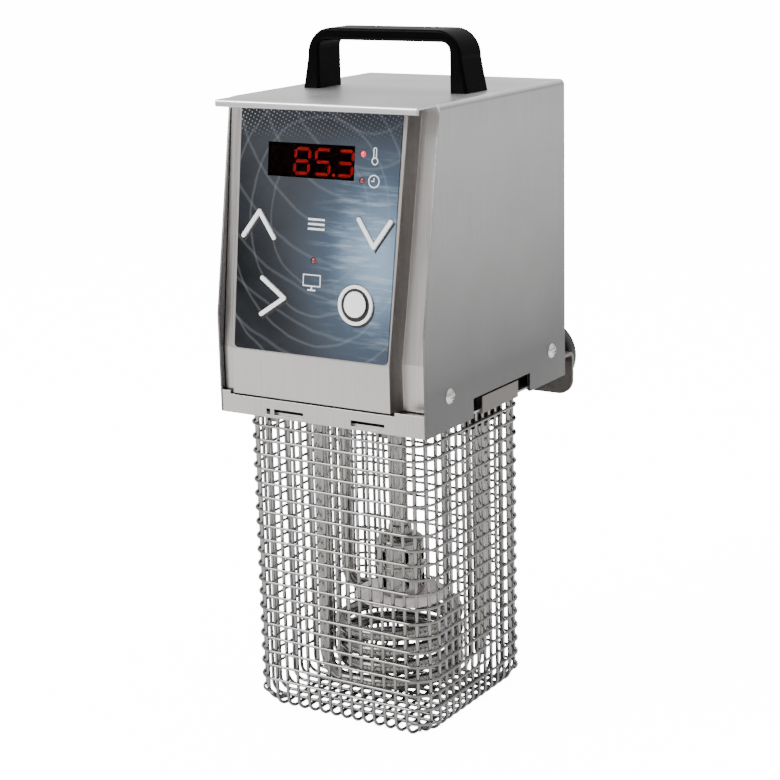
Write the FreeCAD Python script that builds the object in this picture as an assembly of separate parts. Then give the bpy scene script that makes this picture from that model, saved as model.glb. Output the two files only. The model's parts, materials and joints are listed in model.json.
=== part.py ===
"""Immersion circulator: a steel control head on a wire guard, with a heater coil and a pump inside."""
import FreeCAD, Part
import math
import os

V = FreeCAD.Vector

# ---- driving dimensions, in millimetres --------------------------------------------------------
# The head is drawn with z = 0 at its floor's underside, y = 0 at its front and x = 0 on its middle plane.
HEAD_WIDTH = 130.0
HEAD_DEPTH = 153.4
HEAD_HEIGHT = 167.0
SKIRT = -1.6                    # lower edge of the cover, the rail and the flanges
SHEET = 1.2
BEND = 3.0                      # outer radius of the cover's folds
FRONT = -1.2                    # foremost face of the side walls and of the base rail
KNEE_Z = 52.0                   # where the side walls' front edge starts to lean back
SIDE_TOP_Y = 18.0               # side walls' front edge at the top
HALF = HEAD_WIDTH / 2
INSIDE = HALF - SHEET           # inner face of the side walls

LIP_X = (-60.0, 63.0)           # folded front edge of the top, which overhangs the panel
LIP_DROP = 3.8
LIP_ROUND = 1.1

SIDE_SCREW_R = 1.7
HANDLE_SCREW_R = 1.9
BRACKET_SCREW_R = 2.1
SCREW_HOLE_R = 2.2
THROUGH = 1.0                   # how far a cutting tool runs past the metal

PANEL_FOOT = (0.4, 34.0)        # y and z of the leaning panel's lower edge
PANEL_HEAD = (17.0, 165.2)      # y and z of its upper edge
KICK_Z = 9.2                    # lower end of the upright strip under the panel
PANEL_LEFT = -57.5              # raised field of the panel
PANEL_RIGHT = (42.3, 47.4)      # its right edge at the foot and at the head, which tapers
FLANK = 2.6                     # how far the field's right flank slopes outward
LEFT_STEP = 1.5
RIGHT_STEP = 9.0                # depth of the channel beside the raised field
LABEL_LEFT = -55.3
LABEL_RIGHT = (41.4, 44.8)      # at the label's lower and upper end
LABEL_V = (0.8, 131.0)          # along the lean, from the panel's lower edge
LABEL_THICK = 0.5
WINDOW_X = (-37.3, 16.8)
WINDOW_V = (93.5, 111.3)
LENS_W = (-0.9, 0.35)           # measured out from the panel face
DISPLAY_FACE = -1.3             # the display block's face, on which the lit bars lie
BAR_THICK = 0.25
DIGIT_V = (94.9, 109.3)
DIGIT_WIDTH = 10.4
DIGIT_X = (-21.9, -9.0, 5.0)    # left edges of the three lit digits
DIGIT_SEGMENTS = ("abcdefg", "acdfg", "abcdg")
INDICATORS = ((21.8, 107.5), (21.8, 94.0), (-6.2, 50.9))
INDICATOR_R = 1.7

KEY_STROKE = 2.3
KEY_TOP = 1.2                   # how far a key stands out of the steel panel
KEY_TRAVEL = 0.6
KEY_GAP = 0.35
KEY_PLATE_W = (-3.2, -2.0)      # hidden plate under a key's mark, measured out from the panel face
KEY_PLATE_RIM = 2.0
KEY_PIN_R = 2.0
KEY_PIN_END = -5.0
CHEVRONS = {
    "key_up": ((-51.3, 61.1), (-41.5, 74.5), (-31.7, 61.1)),
    "key_down": ((21.0, 74.2), (30.6, 60.6), (40.2, 74.2)),
    "key_next": ((-38.2, 39.4), (-23.9, 29.8), (-38.2, 20.2)),
}
ROUND_KEY = (20.9, 30.0)
ROUND_KEY_R = 10.5
ROUND_GROOVE = (8.7, 6.8)       # outer and inner radius
GROOVE_DEPTH = 0.6
BOARD_W = (-10.8, -9.2)         # control board
BOARD_X = (-54.0, 43.0)
BOARD_V = (4.0, 122.0)
BOARD_POSTS = tuple((x, v) for x in (-50.0, 36.5) for v in (8.0, 118.0))
POST_R = 3.0
POST_BORE = 1.6
SWITCH_HALF = 3.2
SWITCH_TOP = -6.2

RAIL_HEIGHT = 8.5
RAIL_LEDGE_Y = 10.5             # how far back the rail's top flange reaches
RAIL_ENDS = (-58.5, 46.0)       # outside these the rail stands higher
RAIL_END_RISE = 2.0
RAIL_SLOTS_X = ((-35.0, -32.5), (-30.0, -11.2), (18.8, 39.6))
RAIL_SLOT_Z = (0.2, 3.4)
SIDE_FLANGE = 24.0
SIDE_SCREWS = ((23.3, 16.0), (137.3, 16.0))
NOTCH_Y = (47.5, 111.0)         # cut in the side walls for the guard's ears
NOTCH_HEIGHT = 9.0

PANEL_GAP = 0.2                 # all round the rear panel
VENT_X = (-32.0, 0.0, 32.0)
VENT_HALF = 11.0
VENT_Z = range(96, 146, 8)
VENT_HEIGHT = 3.0
GLAND = (40.0, 62.0)            # x and z of the cable gland
GLAND_R = 8.0
LEAD_R = 4.2                    # bore for the lead

HANDLE_X = 2.0
HANDLE_Y = (65.0, 88.0)
HANDLE_TOP = 199.6
HANDLE_GRIP = 6.4               # thickness of the bar
HANDLE_FOOT = 51.5              # half its length at the foot
HANDLE_LEG = 10.5
HANDLE_LEAN = 3.5               # how far each leg leans in up to its shoulder
HANDLE_CROWN = 17.0             # where the top becomes flat, in from the foot
HANDLE_SHOULDER = 15.0          # height of the large outer corners
HANDLE_INNER_ROUND = 5.0
HANDLE_EDGE_ROUND = 1.6

AXIS_Y = 75.0                   # motor, drive shaft and pump
SHAFT_R = 2.5
SHAFT_LOW = -115.5
SHAFT_JOIN = 20.0               # where the drive shaft meets the motor's
MOTOR_SHAFT_R = 3.0
MOTOR_SHAFT_TOP = 94.0
COUPLING_R = 7.5
COUPLING_Z = (8.0, 30.0)
MOTOR_Z = (34.0, 80.0)
MOTOR_R = 26.0
MOTOR_POSTS = tuple((sx * 21.0, AXIS_Y + sy * 21.0) for sx in (-1, 1) for sy in (-1, 1))
MOTOR_POST_R = 3.5
FAN_Z = (86.0, 93.0)
FAN_R = 27.0
FAN_BLADES = 7
BLADE_PITCH = 28.0              # degrees
RUNNING = 0.05                  # radial clearance of a running fit
COLUMN_R = 4.8
COLUMN_BORE = 3.4
COLUMN_FLANGE_R = 15.0
COLUMN_FLANGE_Z = (-3.0, 0.0)
PUMP_R = 13.5
PUMP_Z = (-119.0, -84.6)
PUMP_WALL = 1.2
PUMP_INLET_R = 8.0
PUMP_ROUND = 3.5
BUSH_Z = ((-14.0, -2.0), (PUMP_Z[1], -72.0))
NUT_R = 6.8
NUT_HEIGHT = 6.0
NUT_GROOVES = 18
IMPELLER_Z = (-114.5, -101.0)
IMPELLER_R = 10.8
IMPELLER_HUB = 4.0
VANES = 6
DISC_R = 26.5

COIL_Y = 72.0
COIL_R = 33.0
COIL_Z = (-161.5, -127.0)
HEATER_R = 3.7
LEG_FRONT = (-28.0, 39.0)
LEG_REAR = (-43.0, 85.0)
ELBOW_R = 12.0
TERMINAL_Z = 12.0               # top of the heater's two legs
LEVEL_PROBE = (43.0, 90.0)
LEVEL_TIP = -155.0
HEAT_PROBE = (38.0, 104.0)
HEAT_TIP = -150.0
PROBE_R = 3.6
PROBE_TOP = 14.0
FIT = 0.1                       # clearance of a tube in its hole

CAGE_HALF = 55.4                # middle of the upright wires, across
CAGE_Y = (9.5, 115.2)           # middle of the upright wires, front and rear
CAGE_CORNER = 11.0
CAGE_BEND = 8.5
UPRIGHT_R = 1.0
RING_R = 0.8
WELD = 0.15                     # how far crossing wires are pressed into each other
WIRE_PITCH = 7.11
ACROSS_COUNT = 13
ALONG_COUNT = 12
RING_TOP = -9.7
RING_PITCH = 8.2
RING_COUNT = 20
UPRIGHT_TOP = -1.6
FLOOR_Z = -172.3                # middle of the wires that cross the floor from side to side
TO_RING = 0.05                  # ring ends stop this far short of the corner pieces
EAR_Y = (57.0, 97.0)
EAR_LOW = -13.5
TAB_X = (-39.0, 30.0)
TAB_HALF = 4.0
TAB_Z = (-7.5, 4.0)
TAB_SLOT_Y = (10.2, 12.7)
TAB_ROUND = 2.5

BRACKET_HALF = 63.2
BRACKET_T = 2.0
BRACKET_Y = 168.0               # outer face of the clamp bracket's hanging leg
BRACKET_Z = (-16.8, 9.3)
BRACKET_FLANGE = 33.0           # top of the flange that is screwed to the back
BRACKET_BEND = 4.0
BRACKET_CORNER = 9.0
BRACKET_SCREWS = ((-50.0, 24.0), (-18.0, 24.0), (18.0, 24.0), (50.0, 24.0))
CLAMP_X = 38.0
CLAMP_Z = 3.0
SCREW_R = 3.0
NOSE_R = 1.8                    # reduced end of the screw, in the pad
PAD_Y = (160.9, 164.9)
PAD_R = 4.0
BUSH_END = 172.5
BUSH_WALL = 3.5
BUSH_SHANK = 1.5                # wall of the bush's shank, in the bracket's leg
KNOB_Y = (175.2, 183.4)
KNOB_R = 20.0
KNOB_HUB = 188.0                # outer end of the knob's hub
KNOB_HUB_R = 8.0
KNOB_DISH = (14.5, 9.5)         # outer and inner radius of the ring in its outer face

RING_Z = [RING_TOP - k * RING_PITCH for k in range(RING_COUNT)]
RING_OUT = UPRIGHT_R + RING_R - WELD
ACROSS = [(k - (ACROSS_COUNT - 1) / 2) * WIRE_PITCH for k in range(ACROSS_COUNT)]
ALONG = [sum(CAGE_Y) / 2 + (k - (ALONG_COUNT - 1) / 2) * WIRE_PITCH for k in range(ALONG_COUNT)]
LOWEST = FLOOR_Z - (2 * UPRIGHT_R - WELD) - UPRIGHT_R
TILT = math.atan2(PANEL_HEAD[0] - PANEL_FOOT[0], PANEL_HEAD[1] - PANEL_FOOT[1])
# The finished part stands on the guard's floor, with its origin under the middle of its outline.
TO_ORIGIN = V(0, -(FRONT + KNOB_HUB) / 2, -LOWEST)


# ---- shapes ------------------------------------------------------------------------------------
def block(x, y, z):
    """Box between two limits on each axis."""
    return Part.makeBox(x[1] - x[0], y[1] - y[0], z[1] - z[0], V(x[0], y[0], z[0]))


def rod(radius, x, y, z):
    """Upright cylinder at (x, y) between two heights."""
    return Part.makeCylinder(radius, z[1] - z[0], V(x, y, z[0]))


def rod_y(radius, x, z, y):
    """Cylinder along y between two depths."""
    return Part.makeCylinder(radius, y[1] - y[0], V(x, y[0], z), V(0, 1, 0))


def rod_x(radius, y, z, x):
    """Cylinder along x between two sides."""
    return Part.makeCylinder(radius, x[1] - x[0], V(x[0], y, z), V(1, 0, 0))


def ring(outer, inner, x, y, z):
    """Upright tube."""
    return rod(outer, x, y, z).cut(rod(inner, x, y, (z[0] - 1, z[1] + 1)))


def hexagon(radius, x, y, z):
    """Upright hexagonal prism, by its corner radius."""
    turns = [math.radians(60 * k) for k in range(6)]
    corners = [V(x + radius * math.cos(a), y + radius * math.sin(a), z[0]) for a in turns]
    return Part.Face(Part.makePolygon(corners + corners[:1])).extrude(V(0, 0, z[1] - z[0]))


def prism(points, direction):
    """Closed outline, given as vectors, pushed along a direction."""
    return Part.Face(Part.makePolygon(list(points) + [points[0]])).extrude(direction)


def round_edges(shape, radius, chosen):
    """Rounds the edges for which chosen(edge) is true."""
    return shape.makeFillet(radius, [edge for edge in shape.Edges if chosen(edge)])


def along(edge, axis):
    """True for a straight edge that runs along one axis."""
    box = edge.BoundBox
    spans = [box.XLength, box.YLength, box.ZLength]
    return spans[axis] > 0.01 and max(spans[:axis] + spans[axis + 1:]) < 0.001


def fuse(shapes):
    """One solid from shapes that meet or overlap."""
    return shapes[0].multiFuse(shapes[1:]).removeSplitter()


def cut(shape, tools):
    """The shape without the tools."""
    return shape.cut(Part.makeCompound(tools)) if tools else shape


def mirrored(shape):
    """The shape's mirror image across the middle plane."""
    return shape.mirror(V(0, 0, 0), V(1, 0, 0))


def filleted_path(points, radius):
    """Wire of straight runs joined by tangent arcs of one radius."""
    edges = []
    start = points[0]
    for before, corner, after in zip(points, points[1:], points[2:]):
        into = (corner - before).normalize()
        out = (after - corner).normalize()
        turn = into.getAngle(out)
        reach = radius * math.tan(turn / 2)
        first, last = corner - into * reach, corner + out * reach
        inward = (out - into).normalize()
        middle = corner + inward * (radius / math.cos(turn / 2) - radius)
        edges += [Part.LineSegment(start, first).toShape(), Part.Arc(first, middle, last).toShape()]
        start = last
    edges.append(Part.LineSegment(start, points[-1]).toShape())
    return Part.Wire(edges)


def pipe(path, radius):
    """Solid wire or tube of round section along a path."""
    first = path.OrderedEdges[0] if path.ShapeType == "Wire" else path.Edges[0]
    start, heading = first.valueAt(first.FirstParameter), first.tangentAt(first.FirstParameter)
    if first.Orientation == "Reversed":
        start, heading = first.valueAt(first.LastParameter), first.tangentAt(first.LastParameter).negative()
    section = Part.Wire(Part.makeCircle(radius, start, heading))
    return Part.Wire(path.Edges).makePipeShell([section], True, True)


def on_panel(shape):
    """Moves a shape drawn flat, as x, distance up the lean and height, onto the leaning panel."""
    turn = FreeCAD.Rotation(V(1, 0, 0), 90 - math.degrees(TILT))
    placed = shape.copy()
    placed.Placement = FreeCAD.Placement(V(0, *PANEL_FOOT), turn)
    return placed


def save(node, *solids):
    """Writes one node, moved to the part's own origin."""
    shape = solids[0] if len(solids) == 1 else Part.makeCompound(list(solids))
    bad = [s for s in shape.Solids if not s.isValid() or s.Volume <= 0]
    if bad or not shape.Solids:
        raise ValueError(node + " is not a valid solid")
    moved = shape.copy()
    moved.translate(TO_ORIGIN)
    moved.exportStep("parts/" + node + ".step")


# ---- the head's sheet metal --------------------------------------------------------------------
def handle_feet():
    """Middle of each handle foot, where its screw comes up through the cover."""
    reach = HANDLE_FOOT - HANDLE_LEG / 2
    return [(HANDLE_X + side * reach, sum(HANDLE_Y) / 2) for side in (-1, 1)]


def casing():
    """Folded cover: both sides and the top in one sheet, with a hemmed lip over the panel."""
    outer = round_edges(block((-HALF, HALF), (FRONT, HEAD_DEPTH), (SKIRT, HEAD_HEIGHT)), BEND,
                        lambda e: along(e, 1) and e.BoundBox.ZMin > 1)
    inner = round_edges(block((-INSIDE, INSIDE), (FRONT - 1, HEAD_DEPTH + 1), (-BEND, HEAD_HEIGHT - SHEET)),
                        BEND - SHEET, lambda e: along(e, 1) and e.BoundBox.ZMin > 1)
    under_lip = HEAD_HEIGHT - SHEET
    ahead = [V(-HALF - 1, FRONT - 1, KNEE_Z), V(-HALF - 1, FRONT, KNEE_Z),
             V(-HALF - 1, SIDE_TOP_Y, under_lip), V(-HALF - 1, FRONT - 1, under_lip)]
    tools = [inner, prism(ahead, V(HEAD_WIDTH + 2, 0, 0))]
    for x in ((-HALF - 1, LIP_X[0]), (LIP_X[1], HALF + 1)):
        tools.append(block(x, (FRONT - 1, SIDE_TOP_Y), (under_lip - BEND, HEAD_HEIGHT + 1)))
    for side in (-1, 1):
        x = sorted((side * (INSIDE - 1), side * (HALF + 1)))
        tools.append(block(x, NOTCH_Y, (SKIRT - THROUGH, NOTCH_HEIGHT)))
        tools += [rod_x(SCREW_HOLE_R, y, z, x) for y, z in SIDE_SCREWS]
    tools += [rod(SCREW_HOLE_R, x, y, (under_lip - 1, HEAD_HEIGHT + 1)) for x, y in handle_feet()]
    lip = block(LIP_X, (FRONT, FRONT + 2 * SHEET), (HEAD_HEIGHT - LIP_DROP, HEAD_HEIGHT))
    lip = round_edges(lip, LIP_ROUND, lambda e: along(e, 0))
    sheet = cut(outer, tools)
    trim = block((-HALF, HALF), (FRONT - 1, FRONT + SHEET), (under_lip - 1, HEAD_HEIGHT + 1))
    return fuse([sheet.cut(trim), lip])


def panel_section(y, z, right):
    """Sheet section of the front panel at one height, as a closed wire; y is the raised face."""
    left = PANEL_LEFT
    edge = INSIDE - 0.4
    outside = [(-edge, LEFT_STEP), (left, LEFT_STEP), (left, 0), (right, 0), (right + FLANK, RIGHT_STEP),
               (edge, RIGHT_STEP)]
    inside = [(edge, RIGHT_STEP + SHEET), (right + FLANK - SHEET, RIGHT_STEP + SHEET), (right - SHEET, SHEET),
              (left + SHEET, SHEET), (left + SHEET, LEFT_STEP + SHEET), (-edge, LEFT_STEP + SHEET)]
    points = [V(x, y + depth, z) for x, depth in outside + inside]
    return Part.makePolygon(points + points[:1])


def front_panel():
    """Folded front: raised leaning field, channel on its right, upright strip at the foot."""
    foot_y, foot_z = PANEL_FOOT
    head_y, head_z = PANEL_HEAD
    narrow, wide = PANEL_RIGHT
    low, foot, head = (panel_section(foot_y, KICK_Z, narrow), panel_section(foot_y, foot_z, narrow),
                       panel_section(head_y, head_z, wide))
    strip = Part.makeLoft([low, foot], True, True)
    field = Part.makeLoft([foot, head], True, True)
    holes = [key_outline(name, KEY_GAP, (-3, 2)) for name in CHEVRONS]
    holes.append(rod(ROUND_KEY_R + KEY_GAP, *ROUND_KEY, (-3, 2)))
    holes.append(block(WINDOW_X, WINDOW_V, (-3, 2)))
    holes += [rod(INDICATOR_R + 0.1, x, v, (-3, 2)) for x, v in INDICATORS]
    return cut(fuse([strip, field]), [on_panel(hole) for hole in holes])


def base_pan():
    """Floor of the head: a tray with a slotted front rail and two screwed side flanges."""
    edge = INSIDE - 0.05
    rear = HEAD_DEPTH - SHEET - 0.1
    parts = [block((-edge, edge), (FRONT, rear), (0, SHEET)),
             block((-edge, edge), (FRONT, FRONT + SHEET), (SKIRT, RAIL_HEIGHT)),
             block((-edge, edge), (FRONT, RAIL_LEDGE_Y), (RAIL_HEIGHT - SHEET, RAIL_HEIGHT))]
    parts += [block(x, (FRONT, FRONT + SHEET), (0, RAIL_HEIGHT + RAIL_END_RISE))
              for x in ((-edge, RAIL_ENDS[0]), (RAIL_ENDS[1], edge))]
    tools = []
    for side in (-1, 1):
        flange = sorted((side * (edge - SHEET), side * edge))
        parts.append(block(flange, (13, rear - 2), (SKIRT, SIDE_FLANGE)))
        reach = sorted((side * (edge - SHEET - 1), side * (edge + 1)))
        around = (NOTCH_Y[0] - THROUGH, NOTCH_Y[1] + THROUGH)
        tools += [block(reach, around, z) for z in ((SHEET, NOTCH_HEIGHT + THROUGH), (SKIRT - THROUGH, 0))]
        tools += [rod_x(SIDE_SCREW_R, y, z, reach) for y, z in SIDE_SCREWS]
    tools += [block(x, (FRONT - THROUGH, FRONT + SHEET + THROUGH), RAIL_SLOT_Z) for x in RAIL_SLOTS_X]
    floor = (-THROUGH, SHEET + THROUGH)
    slot_half = TAB_HALF + 0.6
    tools += [block((x - slot_half, x + slot_half), TAB_SLOT_Y, floor) for x in TAB_X]
    tools += [rod(radius, x, y, floor) for radius, (x, y) in floor_fittings() + [(COLUMN_R, (0, AXIS_Y))]]
    return cut(fuse(parts), tools)


def floor_fittings():
    """Radius and place of each tube that passes the floor."""
    return [(HEATER_R + FIT, LEG_FRONT), (HEATER_R + FIT, LEG_REAR),
            (PROBE_R + FIT, LEVEL_PROBE), (PROBE_R + FIT, HEAT_PROBE)]


def rear_panel():
    """Back sheet with cooling slots, the cable hole and the clamp bracket's screw holes."""
    edge = INSIDE - PANEL_GAP
    sheet = block((-edge, edge), (HEAD_DEPTH - SHEET, HEAD_DEPTH), (0, HEAD_HEIGHT - SHEET - PANEL_GAP))
    depth = (HEAD_DEPTH - 3, HEAD_DEPTH + 2)
    slots = [block((x - VENT_HALF, x + VENT_HALF), depth, (z, z + VENT_HEIGHT))
             for x in VENT_X for z in VENT_Z]
    holes = [rod_y(SCREW_HOLE_R, x, z, depth) for x, z in BRACKET_SCREWS]
    return cut(sheet, slots + holes + [rod_y(GLAND_R, *GLAND, depth)])


def screw(radius, length, head_r, head_h):
    """Pan-head screw along +z with its head below z = 0 and a crossed recess."""
    head = Part.makeSphere(head_r * 1.25, V(0, 0, head_r * 0.75))
    head = head.common(Part.makeBox(4 * head_r, 4 * head_r, head_h, V(-2 * head_r, -2 * head_r, -head_h)))
    body = head.fuse(Part.makeCylinder(radius, length, V(0, 0, -0.2)))
    arm, width = head_r * 0.6, head_r * 0.2
    cross = [block((-arm, arm), (-width, width), (-head_h - 1, -head_h * 0.35)),
             block((-width, width), (-arm, arm), (-head_h - 1, -head_h * 0.35))]
    return cut(body, cross)


def aimed(shape, place, heading):
    """Turns a shape drawn along +z to a heading and puts it in place."""
    turned = shape.copy()
    turned.Placement = FreeCAD.Placement(place, FreeCAD.Rotation(V(0, 0, 1), heading))
    return turned


# ---- the panel's label, display and keys -------------------------------------------------------
def key_outline(name, gap, heights):
    """Chevron of one stroke width, grown by a gap, between two heights over the panel face."""
    half = KEY_STROKE / 2 + gap
    points = [V(x, v, heights[0]) for x, v in CHEVRONS[name]]
    lift = V(0, 0, heights[1] - heights[0])
    arms = []
    for a, b in zip(points, points[1:]):
        run = (b - a).normalize()
        across = V(-run.y, run.x, 0) * half
        arms.append(prism([a + across, a - across, b - across, b + across], lift))
    return fuse(arms + [Part.makeCylinder(half, lift.z, point) for point in points])


def key(name):
    """Moving key: raised mark, hidden plate and the pin that presses its switch."""
    if name in CHEVRONS:
        points = CHEVRONS[name]
        mark = key_outline(name, 0, (-2.5, KEY_TOP))
        x, v = ([p[axis] for p in points] for axis in (0, 1))
        middle = (sum((min(x), max(x))) / 2, sum((min(v), max(v))) / 2)
        rim = KEY_PLATE_RIM
        plate = block((min(x) - rim, max(x) + rim), (min(v) - rim, max(v) + rim), KEY_PLATE_W)
    else:
        middle = ROUND_KEY
        outer, inner = ROUND_GROOVE
        groove = ring(outer, inner, *middle, (KEY_TOP - GROOVE_DEPTH, KEY_TOP + 1))
        mark = rod(ROUND_KEY_R, *middle, (-2.5, KEY_TOP)).cut(groove)
        plate = rod(ROUND_KEY_R + KEY_PLATE_RIM - 0.5, *middle, KEY_PLATE_W)
    pin = rod(KEY_PIN_R, *middle, (KEY_PIN_END, KEY_PLATE_W[0] + 0.2))
    return on_panel(fuse([mark, plate, pin])), middle


def label_overlay():
    """Printed film on the raised field, open over the keys, the window and the indicators."""
    low, high = LABEL_V
    corners = [V(LABEL_LEFT, low, 0), V(LABEL_RIGHT[0], low, 0), V(LABEL_RIGHT[1], high, 0),
               V(LABEL_LEFT, high, 0)]
    film = round_edges(prism(corners, V(0, 0, LABEL_THICK)), 2.5, lambda e: along(e, 2))
    holes = [key_outline(name, KEY_GAP, (-1, 2)) for name in CHEVRONS]
    holes.append(rod(ROUND_KEY_R + KEY_GAP, *ROUND_KEY, (-1, 2)))
    holes.append(block(WINDOW_X, WINDOW_V, (-1, 2)))
    holes += [rod(INDICATOR_R + 0.1, x, v, (-1, 2)) for x, v in INDICATORS]
    return on_panel(cut(film, holes))


def digit(left, lit):
    """Lit segments of one seven-segment digit, as separate bars."""
    low, high = DIGIT_V
    mid, right, bar, gap, slant = (low + high) / 2, left + DIGIT_WIDTH, 1.7, 0.35, 0.07
    flat = {"a": high - bar / 2, "g": mid, "d": low + bar / 2}
    upright = {"f": (left, mid, high), "b": (right - bar, mid, high),
               "e": (left, low, mid), "c": (right - bar, low, mid)}
    bars = []
    for name in lit:
        if name in flat:
            v = flat[name]
            ends = (left + bar / 2 + gap, right - bar / 2 - gap)
            shape = [(ends[0], v), (ends[0] + bar / 2, v + bar / 2), (ends[1] - bar / 2, v + bar / 2),
                     (ends[1], v), (ends[1] - bar / 2, v - bar / 2), (ends[0] + bar / 2, v - bar / 2)]
        else:
            x, bottom, top = upright[name]
            bottom, top, x = bottom + bar / 2 + gap, top - bar / 2 - gap, x + bar / 2
            shape = [(x, bottom), (x - bar / 2, bottom + bar / 2), (x - bar / 2, top - bar / 2), (x, top),
                     (x + bar / 2, top - bar / 2), (x + bar / 2, bottom + bar / 2)]
        points = [V(px + slant * (v - mid), v, DISPLAY_FACE) for px, v in shape]
        bars.append(prism(points, V(0, 0, BAR_THICK)))
    return bars


def display():
    """Lit segments and the decimal point, on the display block's face."""
    bars = [bar for left, lit in zip(DIGIT_X, DIGIT_SEGMENTS) for bar in digit(left, lit)]
    bars.append(rod(0.9, DIGIT_X[2] - 1.9, DIGIT_V[0] + 0.9, (DISPLAY_FACE, DISPLAY_FACE + BAR_THICK)))
    return [on_panel(bar) for bar in bars]


# ---- handle ------------------------------------------------------------------------------------
def handle():
    """Moulded bridge handle: two leaning legs under a flat bar with large outer corners."""
    base, top = HEAD_HEIGHT, HANDLE_TOP
    foot, shoulder, crown = HANDLE_FOOT, HANDLE_FOOT - HANDLE_LEAN, HANDLE_FOOT - HANDLE_CROWN
    y = HANDLE_Y[0]

    def half(sign):
        return [V(sign * foot, y, base), V(sign * shoulder, y, top - HANDLE_SHOULDER),
                V(sign * (shoulder - 4.3), y, top - 4.2), V(sign * crown, y, top)]

    left, right = half(-1), half(1)
    outline = Part.Wire([Part.LineSegment(left[0], left[1]).toShape(), Part.Arc(*left[1:]).toShape(),
                         Part.LineSegment(left[3], right[3]).toShape(), Part.Arc(*right[:0:-1]).toShape(),
                         Part.LineSegment(right[1], right[0]).toShape(),
                         Part.LineSegment(right[0], left[0]).toShape()])
    body = Part.Face(outline).extrude(V(0, HANDLE_Y[1] - y, 0))
    inner = foot - HANDLE_LEG
    gap = round_edges(block((-inner, inner), (y - 5, HANDLE_Y[1] + 5), (base - 10, top - HANDLE_GRIP)),
                      HANDLE_INNER_ROUND,
                      lambda e: along(e, 1) and e.BoundBox.ZMin > base)
    body = body.cut(gap)
    body = round_edges(body, HANDLE_EDGE_ROUND,
                       lambda e: e.BoundBox.YLength < 0.01 and e.BoundBox.ZMax > base + 1)
    body.translate(V(HANDLE_X, 0, 0))
    return cut(body, [rod(HANDLE_SCREW_R, x, y, (base - 1, base + 14)) for x, y in handle_feet()])


# ---- motor, drive and pump ---------------------------------------------------------------------
def motor_can():
    """Motor body with a cooled case and a clear bore for its rotor."""
    can = round_edges(rod(MOTOR_R, 0, AXIS_Y, MOTOR_Z), 2.0, lambda e: True)
    ribs = [ring(MOTOR_R + 1.2, MOTOR_R - 1, 0, AXIS_Y, (z, z + 1.5)) for z in range(42, 74, 6)]
    bore = rod(MOTOR_SHAFT_R + RUNNING, 0, AXIS_Y, (MOTOR_Z[0] - 5, MOTOR_Z[1] + 5))
    return fuse([can] + ribs).cut(bore)


def motor_mount():
    """Square plate on four posts that carries the motor over the floor."""
    plate = block((-MOTOR_R, MOTOR_R), (AXIS_Y - MOTOR_R, AXIS_Y + MOTOR_R), (MOTOR_Z[0] - 2, MOTOR_Z[0]))
    plate = round_edges(plate, 4.0, lambda e: along(e, 2))
    posts = [rod(MOTOR_POST_R, x, y, (SHEET, MOTOR_Z[0] - 1)) for x, y in MOTOR_POSTS]
    return cut(fuse([plate] + posts), [rod(9.0, 0, AXIS_Y, (MOTOR_Z[0] - 5, MOTOR_Z[0] + 5))])


def fan():
    """Cooling fan on the motor's upper shaft end."""
    hub = rod(8.0, 0, AXIS_Y, FAN_Z)
    blades = []
    for k in range(FAN_BLADES):
        blade = block((6.5, FAN_R), (-0.8, 0.8), (FAN_Z[0] + 0.3, FAN_Z[1] - 0.3))
        blade.rotate(V(0, 0, sum(FAN_Z) / 2), V(1, 0, 0), BLADE_PITCH)
        blade.rotate(V(0, 0, 0), V(0, 0, 1), 360 / FAN_BLADES * k)
        blade.translate(V(0, AXIS_Y, 0))
        blades.append(blade)
    return fuse([hub] + blades).cut(rod(MOTOR_SHAFT_R, 0, AXIS_Y, (FAN_Z[0] - 3, FAN_Z[1] + 3)))


def impeller():
    """Hub and six straight vanes that stir the bath."""
    vanes = []
    for k in range(VANES):
        vane = block((SHAFT_R, IMPELLER_R), (-0.6, 0.6), IMPELLER_Z)
        vane.rotate(V(0, 0, 0), V(0, 0, 1), 360 / VANES * k)
        vane.translate(V(0, AXIS_Y, 0))
        vanes.append(vane)
    hub = rod(IMPELLER_HUB, 0, AXIS_Y, IMPELLER_Z)
    return fuse([hub] + vanes).cut(rod(SHAFT_R, 0, AXIS_Y, (IMPELLER_Z[0] - 1, IMPELLER_Z[1] + 1)))


def pump_column():
    """Steel tube and flange that hang the pump under the floor."""
    tube = rod(COLUMN_R, 0, AXIS_Y, (PUMP_Z[1], -1))
    flange = rod(COLUMN_FLANGE_R, 0, AXIS_Y, COLUMN_FLANGE_Z)
    flange = round_edges(flange, 0.8, lambda e: e.BoundBox.ZMax < -1)
    return fuse([tube, flange]).cut(rod(COLUMN_BORE, 0, AXIS_Y, (PUMP_Z[1] - 1, 1)))


def pump_housing():
    """Rounded can around the impeller, with a bead at its middle and slots for the outflow."""
    low, high = PUMP_Z
    mid = (low + high) / 2
    can = round_edges(rod(PUMP_R, 0, AXIS_Y, (low, high)), PUMP_ROUND, lambda e: True)
    bead = round_edges(rod(PUMP_R + 0.8, 0, AXIS_Y, (mid - 1.2, mid + 1.2)), 0.7, lambda e: True)
    hollow = rod(PUMP_R - PUMP_WALL, 0, AXIS_Y, (low + PUMP_WALL, high - PUMP_WALL - 0.2))
    inlet = rod(PUMP_INLET_R, 0, AXIS_Y, (low - 1, low + 5))
    tools = [hollow, inlet, rod(COLUMN_R, 0, AXIS_Y, (high - 5, high + 1))]
    for k in range(6):
        for z in (low + 5.5, mid + 3.5):
            slot = block((PUMP_R - 5, PUMP_R + 5), (-2.2, 2.2), (z, z + 7))
            slot = round_edges(slot, 2.0, lambda e: along(e, 0))
            slot.rotate(V(0, 0, 0), V(0, 0, 1), 60 * k + 12)
            slot.translate(V(0, AXIS_Y, 0))
            tools.append(slot)
    return cut(can.fuse(bead), tools)


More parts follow.
